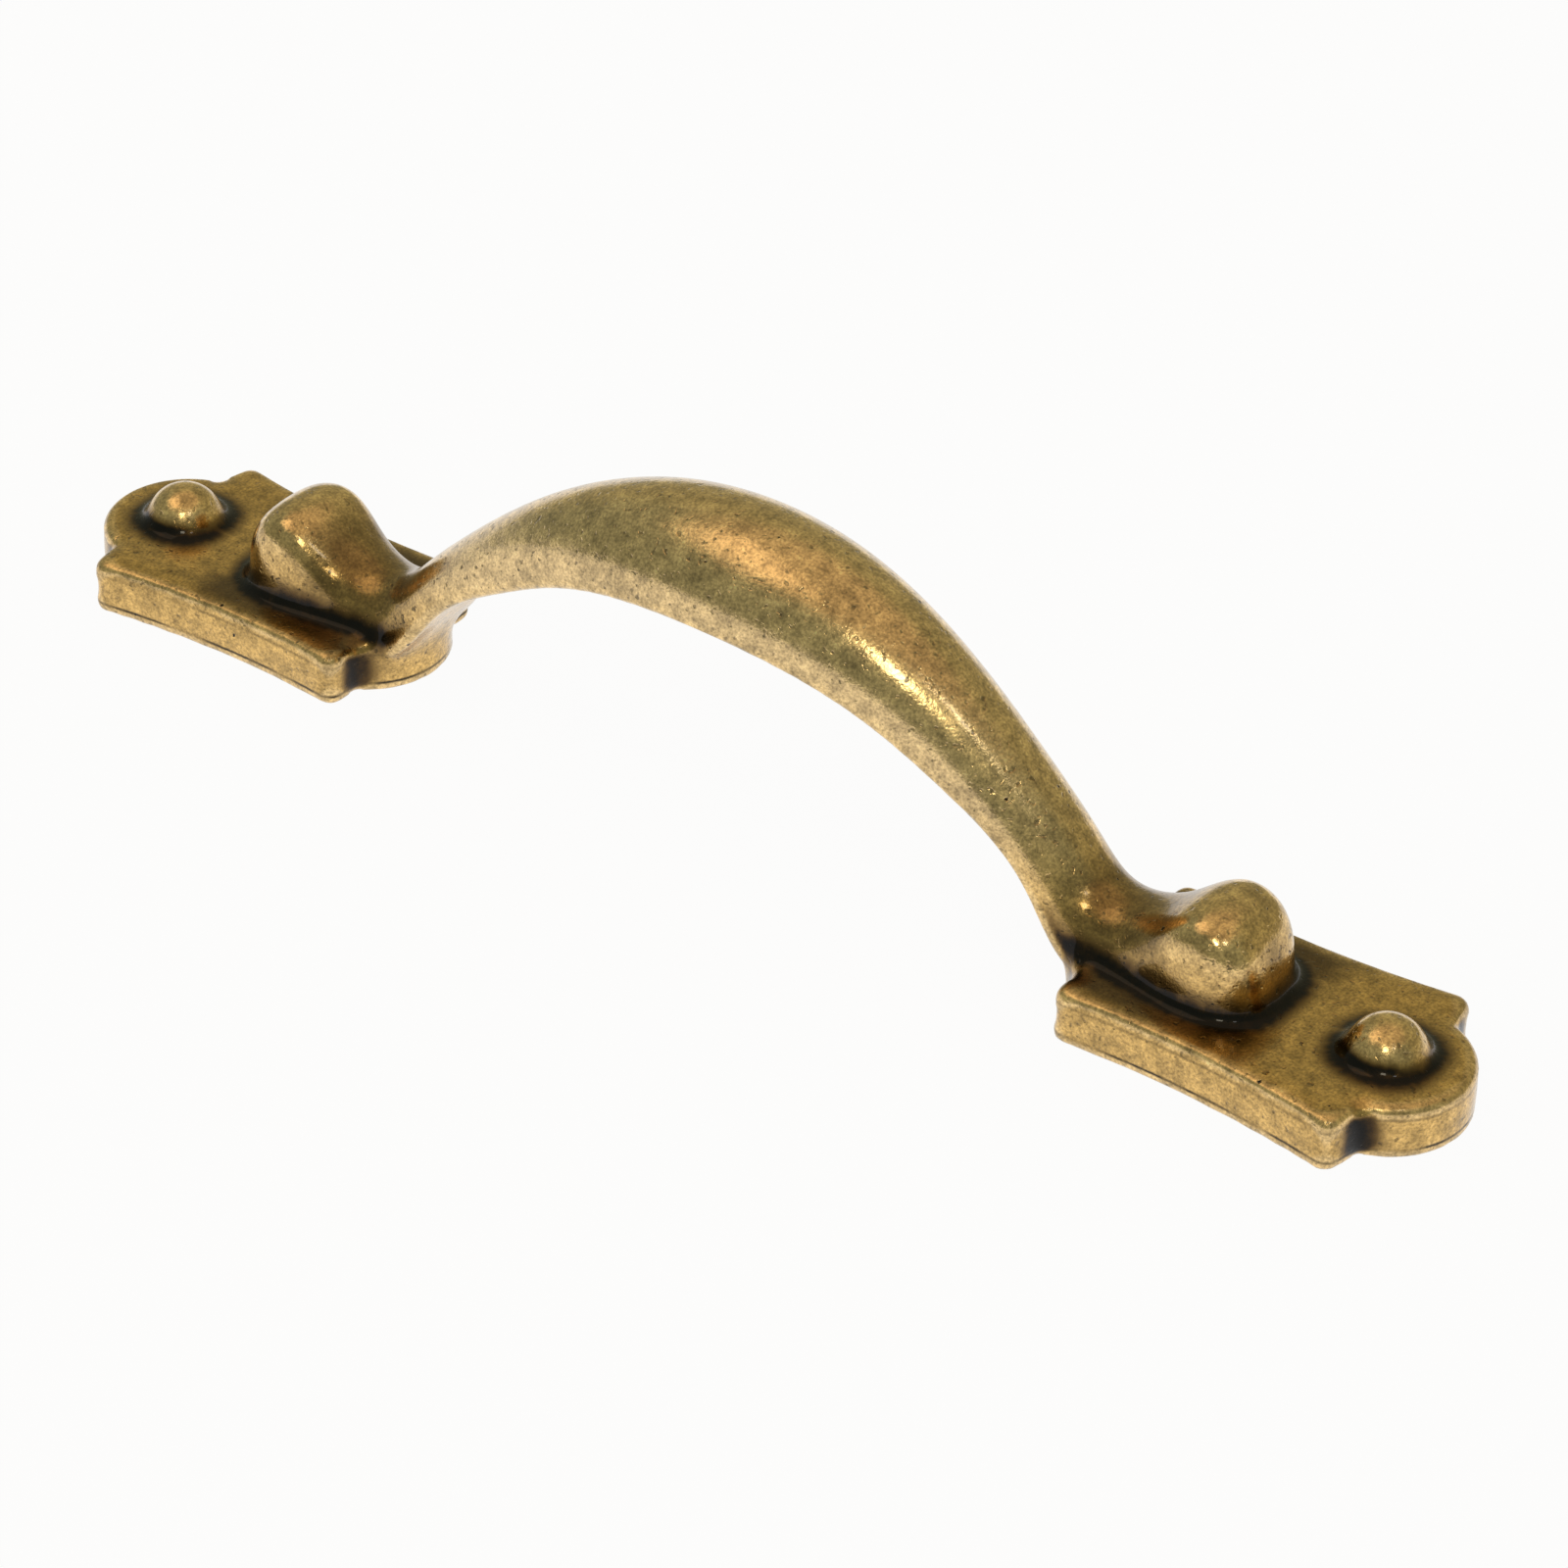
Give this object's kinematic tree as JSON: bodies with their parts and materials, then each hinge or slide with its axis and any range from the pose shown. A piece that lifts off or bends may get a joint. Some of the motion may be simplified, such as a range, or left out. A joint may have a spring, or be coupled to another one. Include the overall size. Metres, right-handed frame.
{
  "type": "fixed arch drawer pull",
  "caption": "Cast drawer pull with an arched, domed handle, bulb feet and eared end plates with dummy rivets, fixed by screws from inside the drawer.",
  "frame": {"origin": "middle of the mounting face, half way between the two screw holes", "axes": "+X along the pull, +Y across it, +Z out from the drawer front"},
  "size_m": [0.1082, 0.0162, 0.0234],
  "materials": {
    "antique_brass": "antique brass plate with dark patina in the recesses, rubbed back on the high spots and lacquered"
  },
  "bodies": {
    "root": {"pull": "antique_brass"}
  },
  "joints": []
}
